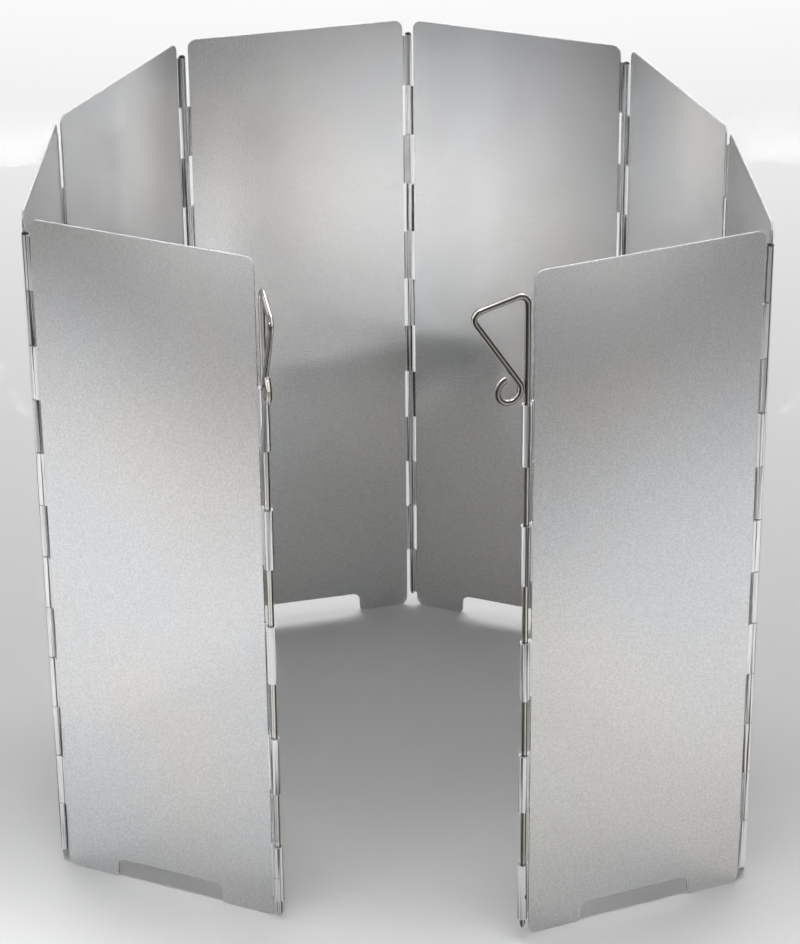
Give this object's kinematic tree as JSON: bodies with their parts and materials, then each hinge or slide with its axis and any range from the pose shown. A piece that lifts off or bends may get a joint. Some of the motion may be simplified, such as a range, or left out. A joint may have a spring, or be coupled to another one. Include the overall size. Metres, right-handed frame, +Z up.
{
  "type": "folding stove windscreen",
  "caption": "Folding windscreen for a camp stove: aluminium sheets in a ring, joined by rolled wire hinges, with a wire stake and finger handle in each free edge.",
  "frame": {"origin": "on the ground, at the middle of the box round the part as it stands in the picture", "axes": "+Z up along the hinge wires, -Y towards the open front, +X to the right seen from the front"},
  "size_m": [0.2338, 0.2364, 0.24],
  "materials": {
    "sheet": "bare rolled sheet, satin with a fine upright grain",
    "hinge_wire": "bare drawn wire",
    "stake_wire": "bright drawn wire"
  },
  "bodies": {
    "rear_left": {"rear_left_panel": "sheet", "hinge_pin_3": "hinge_wire", "hinge_pin_4": "hinge_wire"},
    "rear_right": {"rear_right_panel": "sheet", "hinge_pin_5": "hinge_wire"},
    "left_corner": {"left_corner_panel": "sheet", "hinge_pin_2": "hinge_wire"},
    "left_side": {"left_panel": "sheet", "hinge_pin_1": "hinge_wire"},
    "front_left": {"front_left_panel": "sheet"},
    "right_corner": {"right_corner_panel": "sheet", "hinge_pin_6": "hinge_wire"},
    "right_side": {"right_panel": "sheet", "hinge_pin_7": "hinge_wire"},
    "front_right": {"front_right_panel": "sheet"},
    "left_stake": {"left_stake": "stake_wire"},
    "right_stake": {"right_stake": "stake_wire"}
  },
  "joints": [
    {"name": "rear_fold", "type": "hinge", "parent": "rear_left", "child": "rear_right", "pos_m": [0.00428, 0.11695, 0.12], "axis": [0, 0, 1], "range_deg": [0, 215.5]},
    {"name": "left_corner_fold", "type": "hinge", "parent": "rear_left", "child": "left_corner", "pos_m": [-0.07579, 0.09503, 0.12], "axis": [0, 0, 1], "range_deg": [0, 130]},
    {"name": "left_fold", "type": "hinge", "parent": "left_corner", "child": "left_side", "pos_m": [-0.11388, 0.02126, 0.12], "axis": [0, 0, -1], "range_deg": [0, 203.5]},
    {"name": "right_corner_fold", "type": "hinge", "parent": "rear_right", "child": "right_corner", "pos_m": [0.08081, 0.08476, 0.12], "axis": [0, 0, -1], "range_deg": [0, 131.5]},
    {"name": "right_fold", "type": "hinge", "parent": "right_corner", "child": "right_side", "pos_m": [0.11099, 0.00742, 0.12], "axis": [0, 0, 1], "range_deg": [0, 195.5]},
    {"name": "left_front_hinge", "type": "hinge", "parent": "left_side", "child": "front_left", "pos_m": [-0.1156, -0.06174, 0.12], "axis": [0, 0, 1], "range_deg": [-158.5, 111.5]},
    {"name": "right_front_hinge", "type": "hinge", "parent": "right_side", "child": "front_right", "pos_m": [0.1156, -0.07548, 0.12], "axis": [0, 0, -1], "range_deg": [-162, 106]},
    {"name": "left_stake_pull", "type": "slide", "parent": "front_left", "child": "left_stake", "axis": [0, 0, 1], "range_m": [0, 0.15]},
    {"name": "right_stake_pull", "type": "slide", "parent": "front_right", "child": "right_stake", "axis": [0, 0, 1], "range_m": [0, 0.15]}
  ],
  "couplings": [
    {"joint": "left_corner_fold", "follows": "rear_fold", "ratio": 0.60325},
    {"joint": "left_fold", "follows": "rear_fold", "ratio": 0.94432},
    {"joint": "right_corner_fold", "follows": "rear_fold", "ratio": 0.61021},
    {"joint": "right_fold", "follows": "rear_fold", "ratio": 0.90719}
  ]
}
